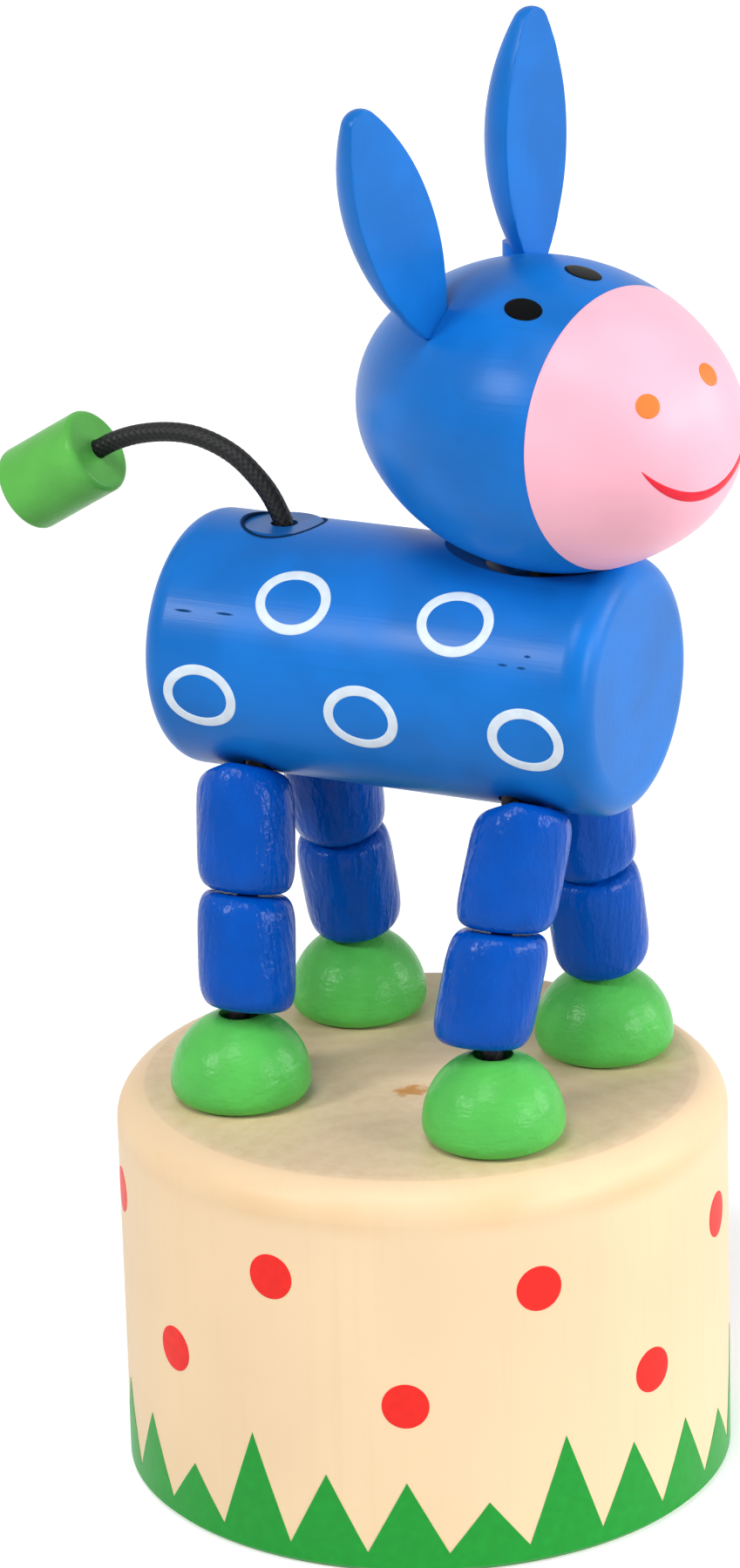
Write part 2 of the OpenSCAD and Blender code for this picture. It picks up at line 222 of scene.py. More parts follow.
def blunt(wave, power):
    """A sine or cosine to a power, with its sign kept: below 1 it squares a circle up to a superellipse."""
    return np.sign(wave) * np.abs(wave) ** power


def points_of(x, y, z):
    """Points from arrays of x, y and z that fill one grid together."""
    return np.stack(np.broadcast_arrays(x, y, z), -1)


def grids_to_object(name, grids, material, across=True, along=False, values=None, crease=None):
    """Joins grids of points P[k, i, j] into quads. across closes j onto itself and along closes i.

    Points that fall together, at a pole or where ends meet, are merged, and faces are turned outward.
    values holds one number per point, kept as the attribute "weave". Edges that turn by more than crease
    stay sharp.
    """
    grids = np.asarray(grids, float)
    grids = grids[None] if grids.ndim == 3 else grids
    ids = np.arange(grids[..., 0].size).reshape(grids.shape[:3])
    ids = np.concatenate([ids, ids[:, :1]], axis=1) if along else ids
    ids = np.concatenate([ids, ids[:, :, :1]], axis=2) if across else ids
    quads = np.stack([ids[:, :-1, :-1], ids[:, 1:, :-1], ids[:, 1:, 1:], ids[:, :-1, 1:]], -1)
    mesh = bpy.data.meshes.new(name)
    mesh.from_pydata(grids.reshape(-1, 3), [], quads.reshape(-1, 4))
    if values is not None:
        weave = mesh.attributes.new("weave", "FLOAT", "POINT")
        weave.data.foreach_set("value", np.ravel(values).astype(np.float32))
    work = bmesh.new()
    work.from_mesh(mesh)
    bmesh.ops.remove_doubles(work, verts=work.verts, dist=MERGE)
    bmesh.ops.dissolve_degenerate(work, edges=work.edges, dist=SLIVER)
    bmesh.ops.recalc_face_normals(work, faces=work.faces)
    work.to_mesh(mesh)
    work.free()
    mesh.shade_smooth()
    if crease is not None:
        mesh.set_sharp_from_angle(angle=crease)
    mesh.update()
    mesh.materials.append(material)
    piece = bpy.data.objects.new(name, mesh)
    bpy.context.scene.collection.objects.link(piece)
    return piece


def run_of(route):
    """Distance along a route at each of its points."""
    return np.concatenate([[0], np.cumsum(np.linalg.norm(np.diff(route, axis=0), axis=1))])


def smooth_route(points, step, detail=40):
    """Carries a curve through points and divides it evenly.

    Catmull-Rom cubics: the tangent at a point is half the way between its two neighbours.
    """
    p = np.asarray(points, float)
    p = np.concatenate([2 * p[:1] - p[1:2], p, 2 * p[-1:] - p[-2:-1]])
    t = np.linspace(0, len(p) - 3, detail * len(p))
    i = np.minimum(t.astype(int), len(p) - 4)
    u = (t - i)[:, None]
    a, b, c, d = p[i], p[i + 1], p[i + 2], p[i + 3]
    fine = 0.5 * (2 * b + (c - a) * u + (2 * a - 5 * b + 4 * c - d) * u ** 2
                  + (3 * b - a - 3 * c + d) * u ** 3)
    run = run_of(fine)
    even = np.linspace(0, run[-1], max(int(round(run[-1] / step)), 2) + 1)
    return np.stack([np.interp(even, run, fine[:, k]) for k in range(3)], 1)


def section(u, v, sides):
    """Directions round a path at each of its points: cos(a) * u + sin(a) * v."""
    a = round_turn(sides)[None, :, None]
    return np.cos(a) * u[:, None] + np.sin(a) * v[:, None]


def tube(route, radius, sides, flat):
    """A round tube along a route, closed at both ends.

    Each ring lies square to the route: its first axis is the route's direction crossed with flat,
    a direction that the route never takes. radius may vary by ring and by angle.
    """
    along = unit(np.gradient(route, axis=0))
    u = unit(np.cross(np.broadcast_to(flat, route.shape), along))
    radius = np.broadcast_to(np.asarray(radius, float), (len(route), sides))
    rings = route[:, None] + radius[:, :, None] * section(u, np.cross(along, u), sides)
    first, last = (route[[k]][:, None].repeat(sides, 1) for k in (0, -1))
    return np.concatenate([first, rings, last])


def braid(run, sides, pitch):
    """Height of a braid from 0 to 1: two sets of strands wind opposite ways and the higher one shows."""
    a = STRANDS * round_turn(sides)[None] / 2
    s = STRANDS * (TURN * run / pitch)[:, None] / 2
    return 0.5 + 0.5 * np.maximum(np.cos(a + s), np.cos(a - s))


def braided_cord(name, points, diameter, material, flat=(1, 0, 0), step=0.16, sides=32, pitch=5,
                 relief=0.08):
    """A cord through points: a tube that a braid thins by relief in its gaps, step and pitch in mm."""
    route = smooth_route(points, step * MM)
    weave = braid(run_of(route), sides, pitch * MM)
    rings = tube(route, diameter / 2 * (1 - relief + relief * weave), sides, flat)
    return grids_to_object(name, rings, material, values=np.pad(weave, ((1, 1), (0, 0)), mode="edge"))


def pill(half_x, half_y, height, rows=12, columns=48, power=0.3):
    """A flat printed spot: an ellipse whose section is a superellipse, flat on top with a rounded rim."""
    f = np.linspace(-math.pi / 2, math.pi / 2, rows)[:, None]
    a = round_turn(columns)[None]
    out = blunt(np.cos(f), power)
    return points_of(half_x * out * np.cos(a), half_y * out * np.sin(a), height * blunt(np.sin(f), power))


def hoop(half_x, half_y, half_stroke, height, rows=96, columns=16, power=0.4):
    """A flat printed ring: an oval torus whose section is a flattened ellipse, as wide as the stroke."""
    a = round_turn(rows)[:, None]
    f = round_turn(columns)[None]
    out, high = half_stroke * np.cos(f), height * blunt(np.sin(f), power)
    return points_of((half_x + out) * np.cos(a), (half_y + out) * np.sin(a), high)


def around_log(flat, x, turn, side):
    """Wraps a flat print onto the log: x runs along the log, y round it. turn is up from the side."""
    a = turn + flat[..., 1] / LOG_R
    r = LOG_R + flat[..., 2]
    return points_of(x + flat[..., 0], side * r * np.cos(a), LOG_Z + r * np.sin(a))


def around_drum(flat, turn, z):
    """Wraps a flat print onto the drum's side: its x runs round the drum, its y up."""
    a = turn + flat[..., 0] / DRUM_R
    r = DRUM_R + flat[..., 2]
    return points_of(r * np.cos(a), r * np.sin(a), z + flat[..., 1])


class Oval:
    """A turned oval of four arcs: half length a, half width b, end radius r and side arc s.

    The arcs of its ends are centred end away from the middle, and meet the sides at join.
    """

    def __init__(self, half_length, half_width, end_radius):
        self.a, self.b, self.r = half_length, half_width, end_radius
        self.end = self.a - self.r
        self.s = (self.b ** 2 + self.end ** 2 - self.r ** 2) / (2 * (self.b - self.r))
        self.join = self.end + self.r * self.end / (self.s - self.r)

    def width(self, x):
        """Half width of the oval at a distance along its axis."""
        side = self.b - self.s + np.sqrt(np.maximum(self.s ** 2 - x ** 2, 0))
        tip = np.sqrt(np.maximum(self.r ** 2 - (np.abs(x) - self.end) ** 2, 0))
        return np.where(np.abs(x) < self.join, side, tip)


class HeadForm(Oval):
    """The head's oval, in its own axes, and the way it sits on the body"""

    def __init__(self, sizes):
        super().__init__(sizes.head_length / 2, sizes.head_width / 2, sizes.head_end)
        self.turn = turn_about("z", HEAD_TURN) @ turn_about("x", sizes.head_roll)
        bore = np.array([NECK[0], NECK[1], corners("head")[1][2] - self.b])
        self.middle = bore + self.turn @ np.array([sizes.head_ahead, 0, 0])

    def place(self, points):
        """From the head's axes to the puppet's."""
        return points @ self.turn.T + self.middle

    def seat(self, points, lift):
        """Moves points onto the oval along its own normal, and lifts them off it.

        In the plane of the axis the oval is arcs, so the nearest point lies on the line to the arc's centre.
        """
        x, out = points[..., 0], np.hypot(points[..., 1], points[..., 2])
        nose = np.abs(x) > self.join
        cx = np.where(nose, np.sign(x) * self.end, 0)
        cy = np.where(nose, 0, self.b - self.s)
        reach = np.where(nose, self.r, self.s) + lift
        far = np.maximum(np.hypot(x - cx, out - cy), 1e-12)
        grow = (cy + (out - cy) / far * reach) / np.maximum(out, 1e-12)
        return points_of(cx + (x - cx) / far * reach, points[..., 1] * grow, points[..., 2] * grow)

    def spot(self, flat, x, turn):
        """A flat print on the front half, turn from the top: its x runs along the head, its y round it."""
        lean = (x - self.end) / self.r if x > self.join else x / self.s
        tilt = np.array([math.sqrt(1 - lean ** 2), 0, -lean])
        at = np.array([x, 0, self.width(np.array(x))])
        points = at + flat[..., :1] * tilt + flat[..., 1:2] * (0, 1, 0)
        return self.seat(points @ turn_about("x", turn), flat[..., 2])


# Materials

SMOOTH = {"interpolation_type": "SMOOTHSTEP"}
TINT = {"data_type": "RGBA"}


def add(tree, kind, inputs=None, **settings):
    """Adds one shader node.

    settings are its properties, and inputs are values for its sockets or what links to them. A node given
    as an input links from its first output that is in use.
    """
    node = tree.nodes.new("ShaderNode" + kind)
    for key, value in settings.items():
        setattr(node, key, value)
    for key, value in (inputs or {}).items():
        if isinstance(value, bpy.types.Node):
            value = next(socket for socket in value.outputs if socket.enabled)
        if isinstance(value, bpy.types.NodeSocket):
            tree.links.new(value, node.inputs[key])
        else:
            node.inputs[key].default_value = value
    return node


def per(*mm):
    """Scale of a pattern from the size of its features in millimetres: one number, or one for each axis."""
    scale = tuple(1 / (size * MM) for size in mm)
    return scale if len(scale) > 1 else scale[0]


def span(value, low, high, to_low=0.0, to_high=1.0):
    """Inputs that carry a value from one span to another and hold it at the ends."""
    return {"Value": value, "From Min": low, "From Max": high, "To Min": to_low, "To Max": to_high}


def rgba(c, gain=1.0):
    """A colour with alpha, made lighter or darker. A hex code is made linear first."""
    c = linear(c) if isinstance(c, str) else c
    return tuple(min(v * gain, 1) for v in c) + (1,)


def new_material(name):
    """An empty material, its tree and its object coordinates."""
    material = bpy.data.materials.new(name)
    material.use_nodes = True
    tree = material.node_tree
    tree.nodes.clear()
    return material, tree, add(tree, "TexCoord").outputs["Object"]


def finish_material(material, tint, rough, **more):
    """Ends a material in one principled surface. gloss is its specular level."""
    names = {"gloss": "Specular IOR Level", "ior": "IOR", "metallic": "Metallic", "normal": "Normal"}
    sockets = {"Base Color": tint, "Roughness": rough, **{names[key]: value for key, value in more.items()}}
    tree = material.node_tree
    add(tree, "OutputMaterial", {"Surface": add(tree, "BsdfPrincipled", sockets)})
    return material


def mottle(tree, pattern, low, high, c, dark, light):
    """A colour that goes from a darker tone to a lighter one as a pattern rises from low to high."""
    share = add(tree, "MapRange", span(pattern, low, high), **SMOOTH)
    return add(tree, "Mix", {"Factor": share, 6: rgba(c, dark), 7: rgba(c, light)}, **TINT)


def from_spot(tree, place, centre, half, turn=0):
    """Distance from the middle of an ellipsoid that is turned about the upright: 1 on its surface."""
    spot = add(tree, "Mapping", {"Vector": place, "Location": centre, "Rotation": (0, 0, math.radians(turn)),
                                 "Scale": half}, vector_type="TEXTURE")
    return add(tree, "VectorMath", {0: spot}, operation="LENGTH").outputs["Value"]


def satin_blue(name, c, grain_mm, marks=()):
    """Blue lacquer sprayed on turned wood: the grain still shows as fine streaks, and the sheen is soft.

    marks paint dark into the colour: painted shade where a hollow lies in shade, or a dark joint line.
    Each is an ellipsoid by its centre and half sizes, and the dark lies within fade of its middle, where
    core is 0, or of its rim, where core is 1, as deep as shade says.
    """
    material, tree, place = new_material(name)
    along = add(tree, "Mapping", {"Vector": place, "Scale": per(*grain_mm)})
    grain = add(tree, "TexNoise", {"Vector": along, "Scale": 1, "Detail": 4, "Roughness": 0.6})
    cloud = add(tree, "TexNoise", {"Vector": place, "Scale": per(7), "Detail": 2})
    tint = mottle(tree, cloud, 0.3, 0.7, c, 0.9, 1.1)
    streak = add(tree, "MapRange", span(grain, 0.55, 0.8, 0, 0.35), **SMOOTH)
    tint = add(tree, "Mix", {"Factor": streak, 6: tint, 7: rgba(c, 0.72)}, **TINT)
    rough = add(tree, "MapRange", span(cloud, 0.2, 0.8, 0.29, 0.38), **SMOOTH)
    normal = add(tree, "Bump", {"Height": grain, "Distance": 0.03 * MM, "Strength": 0.5})
    # Each mark darkens and roughens the lacquer: painted shade, or a dark joint line
    for centre, half, core, fade, shade in marks:
        off = add(tree, "Math", {0: from_spot(tree, place, centre, half), 1: core}, operation="SUBTRACT")
        off = add(tree, "Math", {0: off}, operation="ABSOLUTE")
        dark = add(tree, "MapRange", span(off, *fade, 1, 0), **SMOOTH)
        tint = add(tree, "Mix", {"Factor": dark, 6: tint, 7: rgba(c, shade)}, **TINT)
        rough = add(tree, "Math", {0: rough, 1: dark}, operation="MAXIMUM")
    return finish_material(material, tint, rough, gloss=0.16, ior=1.5, normal=normal)


def gloss_lacquer(name, c, run_mm, run_depth, gloss, rough):
    """Thick gloss lacquer dipped on small turned pieces: it runs and pulls, so highlights break up."""
    material, tree, place = new_material(name)
    along = add(tree, "Mapping", {"Vector": place, "Scale": per(*run_mm)})
    run = add(tree, "TexNoise", {"Vector": along, "Scale": 1, "Detail": 2, "Roughness": 0.5})
    cloud = add(tree, "TexNoise", {"Vector": place, "Scale": per(3), "Detail": 2})
    peel = add(tree, "TexNoise", {"Vector": place, "Scale": per(0.45), "Detail": 2})
    normal = add(tree, "Bump", {"Height": run, "Distance": run_depth * MM, "Strength": 1})
    normal = add(tree, "Bump", {"Height": peel, "Distance": 0.05 * MM, "Strength": 1, "Normal": normal})
    tint = mottle(tree, cloud, 0.3, 0.75, c, 0.93, 1.05)
    return finish_material(material, tint, rough, gloss=gloss, ior=1.5, normal=normal)


def print_ink(name, c, rough=0.38, gloss=0.15):
    """Pad-printed ink: an even film that takes up a little of the surface under it."""
    material, tree, place = new_material(name)
    film = add(tree, "TexNoise", {"Vector": place, "Scale": per(0.9), "Detail": 3})
    normal = add(tree, "Bump", {"Height": film, "Distance": 0.01 * MM, "Strength": 0.4})
    tint = mottle(tree, film, 0.3, 0.8, c, 0.93, 1.04)
    return finish_material(material, tint, rough, gloss=gloss, ior=1.5, normal=normal)


def pink_lacquer(name, c):
    """Pink lacquer sprayed over a mask: a smooth film with a soft sheen."""
    material, tree, place = new_material(name)
    cloud = add(tree, "TexNoise", {"Vector": place, "Scale": per(9), "Detail": 2})
    peel = add(tree, "TexNoise", {"Vector": place, "Scale": per(0.8), "Detail": 2})
    normal = add(tree, "Bump", {"Height": peel, "Distance": 0.008 * MM, "Strength": 0.4})
    tint = mottle(tree, cloud, 0.3, 0.7, c, 0.95, 1.05)
    return finish_material(material, tint, 0.36, gloss=0.2, ior=1.5, normal=normal)


def turned_wood(name, c, top):
    """Pale close-grained wood, turned, sanded and clear lacquered.

    The grain runs up the piece: its side shows faint streaks, its top end grain with growth rings about
    a pith that lies off the piece, and a small brown knot. Turning burnished a warm band below the top edge.
    """
    # Millimetres: the rings' spacing and the pith, the knot's middle and half sizes; degrees: its turn
    ring_gap, pith_at = 2.6, (-9, 21, 0)
    knot_at, knot_half, knot_turn = (1.1, -4.1), (1.9, 1.4, 2), 50
    # Millimetres below the top: where the warm band rises and falls, and where the end grain begins
    band_rise, band_fall, lid_edge = (4.6, 2.8), (1.7, 0.4), (0.12, 0.05)
    material, tree, place = new_material(name)
    up = add(tree, "Mapping", {"Vector": place, "Scale": per(1.1, 1.1, 38)})
    streak = add(tree, "TexNoise", {"Vector": up, "Scale": 1, "Detail": 4, "Roughness": 0.6})
    pore = add(tree, "Mapping", {"Vector": place, "Scale": per(0.8, 0.8, 6)})
    speck = add(tree, "TexNoise", {"Vector": pore, "Scale": 1, "Detail": 3, "Roughness": 0.6})
    cloud = add(tree, "TexNoise", {"Vector": place, "Scale": per(15), "Detail": 2})
    level = add(tree, "SeparateXYZ", {"Vector": place}).outputs["Z"]
    tint = mottle(tree, cloud, 0.3, 0.7, c, 0.97, 1.02)
    vein = add(tree, "MapRange", span(streak, 0.5, 0.85, 0, 0.16), **SMOOTH)
    tint = add(tree, "Mix", {"Factor": vein, 6: tint, 7: rgba("#E6BE8C")}, **TINT)
    rise, fall, lid = ([top - depth for depth in metres(*edge)] for edge in (band_rise, band_fall, lid_edge))
    rise = add(tree, "MapRange", span(level, *rise), **SMOOTH)
    fall = add(tree, "MapRange", span(level, *fall, 1, 0.5), **SMOOTH)
    patch = add(tree, "MapRange", span(cloud, 0.35, 0.65, 0.1, 0.5), **SMOOTH)
    band = add(tree, "Math", {0: rise, 1: fall}, operation="MULTIPLY")
    band = add(tree, "Math", {0: band, 1: patch}, operation="MULTIPLY")
    tint = add(tree, "Mix", {"Factor": band, 6: tint, 7: rgba("#E8BC86")}, **TINT)
    # A wave's rings lie TURN / (20 * scale) apart
    pith = add(tree, "Mapping", {"Vector": place, "Location": metres(*pith_at)})
    rings = add(tree, "TexWave", {"Vector": pith, "Scale": TURN / (20 * ring_gap * MM), "Distortion": 3,
                                  "Detail": 2, "Detail Scale": 0.3}, wave_type="RINGS", rings_direction="Z")
    faint = add(tree, "Math", {0: rings.outputs["Fac"], 1: 0.12, 2: speck}, operation="MULTIPLY_ADD")
    late = add(tree, "MapRange", span(faint, 0.3, 0.85), **SMOOTH)
    flat = add(tree, "Mix", {"Factor": late, 6: rgba("#EBD0AA"), 7: rgba("#E4C59C")}, **TINT)
    out = from_spot(tree, place, (*metres(*knot_at), top), metres(*knot_half), knot_turn)
    ragged = add(tree, "Math", {0: speck, 1: 1.6, 2: out}, operation="MULTIPLY_ADD")
    knot = add(tree, "MapRange", span(ragged, 1.15, 1.75, 1, 0), **SMOOTH)
    flat = add(tree, "Mix", {"Factor": knot, 6: flat, 7: rgba("#C98A42")}, **TINT)
    lid = add(tree, "MapRange", span(level, *lid), **SMOOTH)
    tint = add(tree, "Mix", {"Factor": lid, 6: tint, 7: flat}, **TINT)
    normal = add(tree, "Bump", {"Height": speck, "Distance": 0.015 * MM, "Strength": 0.35})
    return finish_material(material, tint, 0.42, gloss=0.25, ior=1.5, normal=normal)


def braided_nylon(name, c):
    """Black nylon braid: painted sheen on the strands of round filaments, and painted shade in the gaps
    between them.
    """
    material, tree, place = new_material(name)
    strand = add(tree, "Attribute", attribute_name="weave").outputs["Fac"]
    fibre = add(tree, "TexNoise", {"Vector": place, "Scale": per(0.12), "Detail": 3})
    normal = add(tree, "Bump", {"Height": fibre, "Distance": 0.02 * MM, "Strength": 0.4})
    # Painted sheen and shade: lighter where the weave rises, darker in its gaps
    tint = mottle(tree, strand, 0.55, 1.0, c, 0.3, 1.6)
    return finish_material(material, tint, 0.5, gloss=0.25, ior=1.53, normal=normal)


def spring_steel(name, c):
    """Drawn spring wire: bright metal with fine die marks."""
    material, tree, place = new_material(name)
    drawn = add(tree, "Mapping", {"Vector": place, "Scale": per(0.15, 0.15, 0.6)})
    mark = add(tree, "TexNoise", {"Vector": drawn, "Scale": 1, "Detail": 3}).outputs["Fac"]
    tint = add(tree, "Mix", {"Factor": mark, 6: rgba(c, 0.8), 7: rgba(c, 1.05)}, **TINT)
    rough = add(tree, "MapRange", span(mark, 0.3, 0.7, 0.22, 0.38), **SMOOTH)
    return finish_material(material, tint, rough, metallic=1.0)


def dress(nodes, material):
    """Gives CAD nodes a material."""
    for name in nodes:
        piece = frame["nodes"][name]
        if not piece.material_slots:
            piece.data.materials.append(material)
        for slot in piece.material_slots:
            slot.material = material


def set_up(name, data, x, z, place):
    """Stands a camera or a lamp at a place. It looks along -z, and x points to its right."""
    holder = bpy.data.objects.new(name, data)
    bpy.context.scene.collection.objects.link(holder)
    turned = np.eye(4)
    turned[:3] = np.stack([x, np.cross(z, x), z, place], 1)
    holder.matrix_world = Matrix(turned.tolist())
    return holder


class Builder:
    """What the operators share: sizes, colours, the cords' nylon and the way a piece is fitted"""
    bl_options = {"REGISTER"}

    @property
    def sizes(self):
        return bpy.context.scene.puppet_sizes

    @property
    def colours(self):
        return bpy.context.scene.puppet_colours

    @property
    def nylon(self):
        name = "nylon_braid_black"
        return bpy.data.materials.get(name) or braided_nylon(name, self.colours.cord)

    def fit(self, piece, body, slot, *nodes, bend=None):
        """Fixes a piece to a body; given bend, a span from one point to another, it only bakes the piece in
        place.

        slot is not used, and nodes are the CAD nodes that the piece stands for.
        """
        if bend:
            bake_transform(piece)
        else:
            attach(piece, body)
        if nodes:
            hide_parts(*nodes)


class PUPPET_OT_camera(Builder, bpy.types.Operator):
    """Sets the camera at the photograph's place"""
    bl_idname = "puppet.camera"
    bl_label = "Camera"

    # Width of the sensor in millimetres, and the nearest and farthest that shows in metres
    sensor, nearest, farthest = 36, 0.01, 20

    def execute(self, context):
        stage = context.scene.puppet_stage
        az, el, ro = stage.azimuth, stage.elevation, stage.roll
        back = np.array([math.sin(az) * math.cos(el), -math.cos(az) * math.cos(el), math.sin(el)])
        right = np.array([math.cos(az), math.sin(az), 0])
        place = stage.aim_right * right + np.array([0, 0, stage.aim_up]) + stage.distance * back
        camera = bpy.data.cameras.new("camera")
        camera.sensor_width, camera.lens = self.sensor, stage.lens
        camera.clip_start, camera.clip_end = self.nearest, self.farthest
        rolled = right * math.cos(ro) + np.cross(back, right) * math.sin(ro)
        context.scene.camera = set_up("camera", camera, rolled, back, place)
        return {"FINISHED"}


class PUPPET_OT_tail(Builder, bpy.types.Operator):
    """Makes the braided tail that arches out of its plug into the tail bead"""
    bl_idname = "puppet.tail"
    bl_label = "Tail"

    # The route of the tail in millimetres, from the plug's top, and the step in which it is declared
    route = ((0, 0, -4.8), (0, 0, -2.5), (0, 0, -0.3), (-0.5, 0, 1), (-1.4, 0, 2.5), (-2.7, 0, 3.9),
             (-4.2, 0, 5.1), (-6.1, 0, 6), (-8.2, 0, 6.5), (-10.5, 0, 6.5), (-12.9, 0, 6.1), (-15, 0, 5.4),
             (-16.9, 0, 4.4), (-19.9, 0, 2.6), (-22.9, 0, 0.8))
    path_step = 1.1

    def execute(self, context):
        s, c = self.sizes, self.colours
        points = PLUG_TOP + np.array(self.route) * MM
        piece = braided_cord("tail_cord_braided", points, s.tail_cord, self.nylon, flat=(0, 1, 0), step=0.11,
                             sides=48, pitch=4.6, relief=0.1)
        self.fit(piece, "tail", "black_cord", "tail_cord")
        lacquer = gloss_lacquer("lacquered_dowel_green", c.tail_green, (3, 1, 1), 0.03, 0.14, 0.28)
        dress(["tail_bead"], lacquer)
        return {"FINISHED"}


class PUPPET_OT_leg_cords(Builder, bpy.types.Operator):
    """Strings each leg: from its knot through drum, hoof and beads into the body"""
    bl_idname = "puppet.leg_cords"
    bl_label = "Leg cords"

    # Millimetres: where the ankle's length starts below the drum's top and how far the knot's length laps
    # it, where the cord turns below the ankle and beside the hip, how far a rear one runs on in the log, how
    # far all stop short of the CAD solid's top, and what fills an elbow's corner
    below_top, lap, turn_ankle, turn_hip, into_log, short, corner = 8, 2, 1, 0.8, 10, 0.5, 0.35
    # Millimetres of the spans handed to fit as bends, which only bake a piece in place: above the knot and
    # below the start of the ankle's length, below and above the ankle, and to both sides of the knee
    bend_knot, bend_top, bend_ankle, bend_bead, bend_knee = 7, 1, 1.5, 2.5, 1.5
    # Where the lengths end along the leg, as shares of a bead's reach
    ankle_end, knee_start, knee_end, hip_start = 0.5, 0.45, 1.55, 1.5

    def execute(self, context):
        for leg in LEGS:
            self.string(leg)
        return {"FINISHED"}

    def string(self, leg):
        """Lays the lengths of one cord. The lower bead stands over the hoof, and up is the beads' line."""
        x, y, _ = middle("hoof_" + leg)
        low, high = corners("leg_cord_" + leg)
        bead, top = middle("lower_bead_" + leg), middle("upper_bead_" + leg)
        up, mm_up = unit((top - bead) * (0, 1, 1)), np.array([0, 0, MM])
        ankle = np.array([x, y, bead[2] - (bead[1] - y) / up[1] * up[2]])
        knee = np.array([x, *((bead + top) / 2)[1:]])
        reach = np.linalg.norm(knee - ankle) * up
        hip = ankle + 2 * reach
        board = np.array([x, y, DRUM_TOP]) - self.below_top * mm_up
        knot = np.array([x, y, low[2]])
        # In the body the front cords meet under the neck, and the rear ones run on in line with their legs
        front = leg.startswith("front")
        aside = np.sign(y) * NECK_PAIR * MM / 2 if front else hip[1] + self.into_log * MM * up[1]
        inside = np.array([x, aside, high[2]]) - self.short * mm_up
        out_of_bead, out_of_log = self.elbow(leg, hip)
        lower, upper = "lower_" + leg, "upper_" + leg
        turn, fold = self.turn_hip * MM * up, self.bend_knee * MM * up
        lengths = (
            ("hollow", [knot, board + self.lap * mm_up], ("button", "base"),
             (knot + self.bend_knot * mm_up, board - self.bend_top * mm_up), ["leg_cord_" + leg]),
            ("ankle", [board, ankle - self.turn_ankle * mm_up, ankle + self.ankle_end * reach],
             ("base", lower), (ankle - self.bend_ankle * mm_up, ankle + self.bend_bead * MM * up), []),
            ("knee", [ankle + self.knee_start * reach, ankle + self.knee_end * reach], (lower, upper),
             (knee - fold, knee + fold), []),
            ("hip", [ankle + self.hip_start * reach, hip - turn, hip + out_of_bead], upper, None, []),
            ("body", [hip - out_of_log, hip + turn, inside], "body", None, []),
        )
        for part, points, body, bend, nodes in lengths:
            piece = braided_cord(f"cord_{part}_{leg}", points, self.sizes.leg_cord, self.nylon)
            self.fit(piece, body, "black_cord", *nodes, bend=bend)

    def elbow(self, leg, hip):
        """How far cord stands out of a bead and of the log, so that its ends meet when the leg is folded.

        Folding turns the upper bead about knee and ankle and carries the level log along. At the end of the
        travel, the bead's end of the cord leans by both angles and the log's hangs straight down.
        """
        knee, ankle, held = (JOINTS[name] for name in ("knee_" + leg, "ankle_" + leg, "ankle_rear_left"))
        carried = np.array(JOINTS["hip_rear_left"]["pos_m"])
        log = hip + self.swing(carried, held) - carried
        gap = log - self.swing(self.swing(hip, knee), ankle)
        lean = math.radians(knee["range_deg"][1] + ankle["range_deg"][1])
        rise = gap[0] / math.sin(lean)
        drop = gap[2] - rise * math.cos(lean)
        return [np.array([0, 0, end + self.corner * MM]) for end in (rise, drop)]

    def swing(self, point, joint):
        """Turns a point about a joint's axis, along y, to the end of its travel."""
        pivot = np.array(joint["pos_m"])
        return pivot + turn_about("y", math.radians(joint["range_deg"][1])) @ (point - pivot)


class PUPPET_OT_neck_cords(Builder, bpy.types.Operator):
    """Makes the two front cords where they cross from the body into the head"""
    bl_idname = "puppet.neck_cords"
    bl_label = "Neck cords"

    # Millimetres from the middle of the head's seat, how far the pair spreads there, and where the span
    # that is handed to fit as a bend ends
    route = ((0, 0, -4.5), (0, 0, -2.6), (0.3, 0.8, 0.2), (0.5, 1.7, 2.8), (0.4, 1.5, 5.8), (0.2, 0.7, 9.4))
    spread = (1, 1, 1, 1.05, 1.65, 1.65)
    bend_end = (0, 0, 6)

    def execute(self, context):
        for side, sign in SIDES.items():
            points = np.array(self.route, float)
            points[:, 1] += sign * np.array(self.spread) * NECK_PAIR / 2
            piece = braided_cord("neck_cord_" + side, NECK + points * MM, self.sizes.leg_cord, self.nylon)
            self.fit(piece, ("neck", "head"), "black_cord", "neck_cord",
                     bend=(NECK, NECK + metres(*self.bend_end)))
        return {"FINISHED"}


class PUPPET_OT_knots(Builder, bpy.types.Operator):
    """Ties a knot in each cord under the button"""
    bl_idname = "puppet.knots"
    bl_label = "Knots"

    # Millimetres: a strand's radius and how far its section is tipped upward; steps along it and round it,
    # and waves of its braid along it and round it
    strand, tip, steps, sides, braid_along, braid_round = 0.62, 0.3, 160, 16, 60, 4

    def execute(self, context):
        low, high = corners("cord_knots")
        strand = self.strand * MM
        t, a = round_turn(self.steps), round_turn(self.sides)
        # A trefoil: the radius swells three times in two turns while the height swings
        around = (2 + np.cos(3 * t)) / 3 * (self.sizes.knot / 2 - strand)
        lift = np.sin(3 * t) * ((high[2] - low[2]) / 2 - strand)
        loop = points_of(around * np.cos(2 * t), around * np.sin(2 * t), lift)
        step = unit(np.roll(loop, -1, 0) - np.roll(loop, 1, 0))
        out = loop - np.sum(loop * step, 1)[:, None] * step + np.array([0, 0, self.tip * MM])
        u = unit(np.cross(step, out))
        knot = loop[:, None] + strand * section(u, np.cross(step, u), self.sides)
        level = np.array([0, 0, (low[2] + high[2]) / 2])
        grids = np.stack([knot + (middle("hoof_" + leg) * (1, 1, 0) + level) for leg in LEGS])
        # The weave drives the nylon's painted sheen on the strands and painted shade between them
        weave = 0.75 + 0.25 * np.cos(self.braid_along * t)[:, None] * np.cos(self.braid_round * a)
        piece = grids_to_object("cord_knots_tied", grids, self.nylon, along=True,
                                values=np.broadcast_to(weave, grids.shape[:3]))
        self.fit(piece, "button", "black_cord", "cord_knots")
        return {"FINISHED"}


